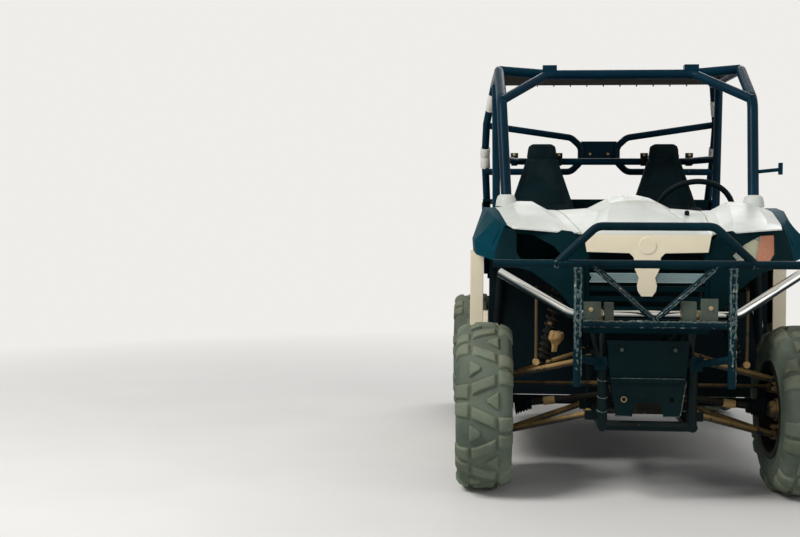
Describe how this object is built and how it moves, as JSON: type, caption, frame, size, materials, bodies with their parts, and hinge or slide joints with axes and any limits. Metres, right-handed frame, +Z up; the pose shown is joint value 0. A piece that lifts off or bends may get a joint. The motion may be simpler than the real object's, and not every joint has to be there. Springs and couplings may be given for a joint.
{
  "type": "dune buggy",
  "caption": "Open two-seat off-road buggy with a tube roll cage, plastic body, front guards, cargo box, lugged tyres and steered front wheels.",
  "frame": {"origin": "on the ground, under the middle of the vehicle's length and width", "axes": "+Z up, -Y towards the nose, +X towards the driver's side (the vehicle's left)"},
  "size_m": [1.574, 2.88, 1.815],
  "materials": {
    "white_body": "dusty moulded plastic",
    "dark_plastic": "faded dark moulded plastic",
    "cage_paint": "dark paint, worn at the corners",
    "frame_paint": "dusty dark paint",
    "guard_paint": "hand-welded bars, dark paint with scale",
    "bright_tube": "dusty bright plating",
    "tyre_rubber": "dusty rubber",
    "rim_steel": "dark steel with dust and rust",
    "arm_steel": "dusty, rusting steel",
    "drive_metal": "rusty cast metal and rubber boots",
    "seat_cover": "dark coated fabric",
    "tub_plastic": "dark moulded plastic",
    "lamp_lens": "dusty clear lens",
    "tail_lens": "red lens",
    "engine_metal": "cast metal",
    "muffler_steel": "heat-stained steel",
    "roof_sheet": "brown underside of a tied-on roof sheet"
  },
  "bodies": {
    "chassis": {"frame_front": "frame_paint", "frame_main": "frame_paint", "frame_rear": "frame_paint", "cage_sides": "cage_paint", "cage_cross": "cage_paint", "rear_cage": "cage_paint", "roof_panel": "roof_sheet", "hood": "white_body", "front_fenders": "white_body", "nose_panel": "white_body", "grille": "dark_plastic", "fascia": "dark_plastic", "lamp_lens": "lamp_lens", "fender_flares": "dark_plastic", "side_panels": "white_body", "floor_tub": "tub_plastic", "dashboard": "tub_plastic", "seat_cushions": "seat_cover", "seat_backs": "seat_cover", "engine_block": "engine_metal", "muffler": "muffler_steel", "cargo_bed": "dark_plastic", "rear_fenders": "white_body", "tail_lamps": "tail_lens", "rear_bumper": "frame_paint", "brush_guard": "guard_paint", "chrome_bumper": "bright_tube", "skid_plate": "frame_paint", "sway_bar": "arm_steel", "arms_front": "arm_steel", "arms_rear": "arm_steel", "shocks_front": "arm_steel", "shocks_rear": "arm_steel", "driveline_front": "drive_metal", "driveline_rear": "drive_metal", "hub_carriers": "drive_metal", "steering_gear": "frame_paint"},
    "knuckle_left_body": {"knuckle_left": "drive_metal"},
    "knuckle_right_body": {"knuckle_right": "drive_metal"},
    "wheel_front_left": {"tyre_front_left": "tyre_rubber", "rim_front_left": "rim_steel"},
    "wheel_front_right": {"tyre_front_right": "tyre_rubber", "rim_front_right": "rim_steel"},
    "wheel_rear_left": {"tyre_rear_left": "tyre_rubber", "rim_rear_left": "rim_steel"},
    "wheel_rear_right": {"tyre_rear_right": "tyre_rubber", "rim_rear_right": "rim_steel"},
    "rack": {"tie_rods": "arm_steel"},
    "steering": {"steering_wheel": "tub_plastic"}
  },
  "joints": [
    {"name": "steer_left", "type": "hinge", "parent": "chassis", "child": "knuckle_left_body", "pos_m": [0.526, -1.01, 0.33], "axis": [0, 0, 1], "range_deg": [-30, 30]},
    {"name": "spin_front_left", "type": "hinge", "parent": "knuckle_left_body", "child": "wheel_front_left", "pos_m": [0.6055, -1.01, 0.33], "axis": [1, 0, 0], "continuous": true},
    {"name": "spin_rear_left", "type": "hinge", "parent": "chassis", "child": "wheel_rear_left", "pos_m": [0.655, 1.04, 0.33], "axis": [1, 0, 0], "continuous": true},
    {"name": "steer_right", "type": "hinge", "parent": "chassis", "child": "knuckle_right_body", "pos_m": [-0.526, -1.01, 0.33], "axis": [0, 0, 1], "range_deg": [-30, 30]},
    {"name": "spin_front_right", "type": "hinge", "parent": "knuckle_right_body", "child": "wheel_front_right", "pos_m": [-0.6055, -1.01, 0.33], "axis": [1, 0, 0], "continuous": true},
    {"name": "spin_rear_right", "type": "hinge", "parent": "chassis", "child": "wheel_rear_right", "pos_m": [-0.655, 1.04, 0.33], "axis": [1, 0, 0], "continuous": true},
    {"name": "rack_slide", "type": "slide", "parent": "chassis", "child": "rack", "axis": [1, 0, 0], "range_m": [-0.046, 0.046]},
    {"name": "steering_turn", "type": "hinge", "parent": "chassis", "child": "steering", "pos_m": [0.365, -0.104, 1.11], "axis": [0, 0.8192, 0.5736], "range_deg": [-272, 272]}
  ],
  "couplings": [
    {"joint": "steer_right", "follows": "steer_left", "ratio": 1},
    {"joint": "rack_slide", "follows": "steer_left", "m_per_rad": -0.085},
    {"joint": "steering_turn", "follows": "steer_left", "ratio": 9}
  ]
}
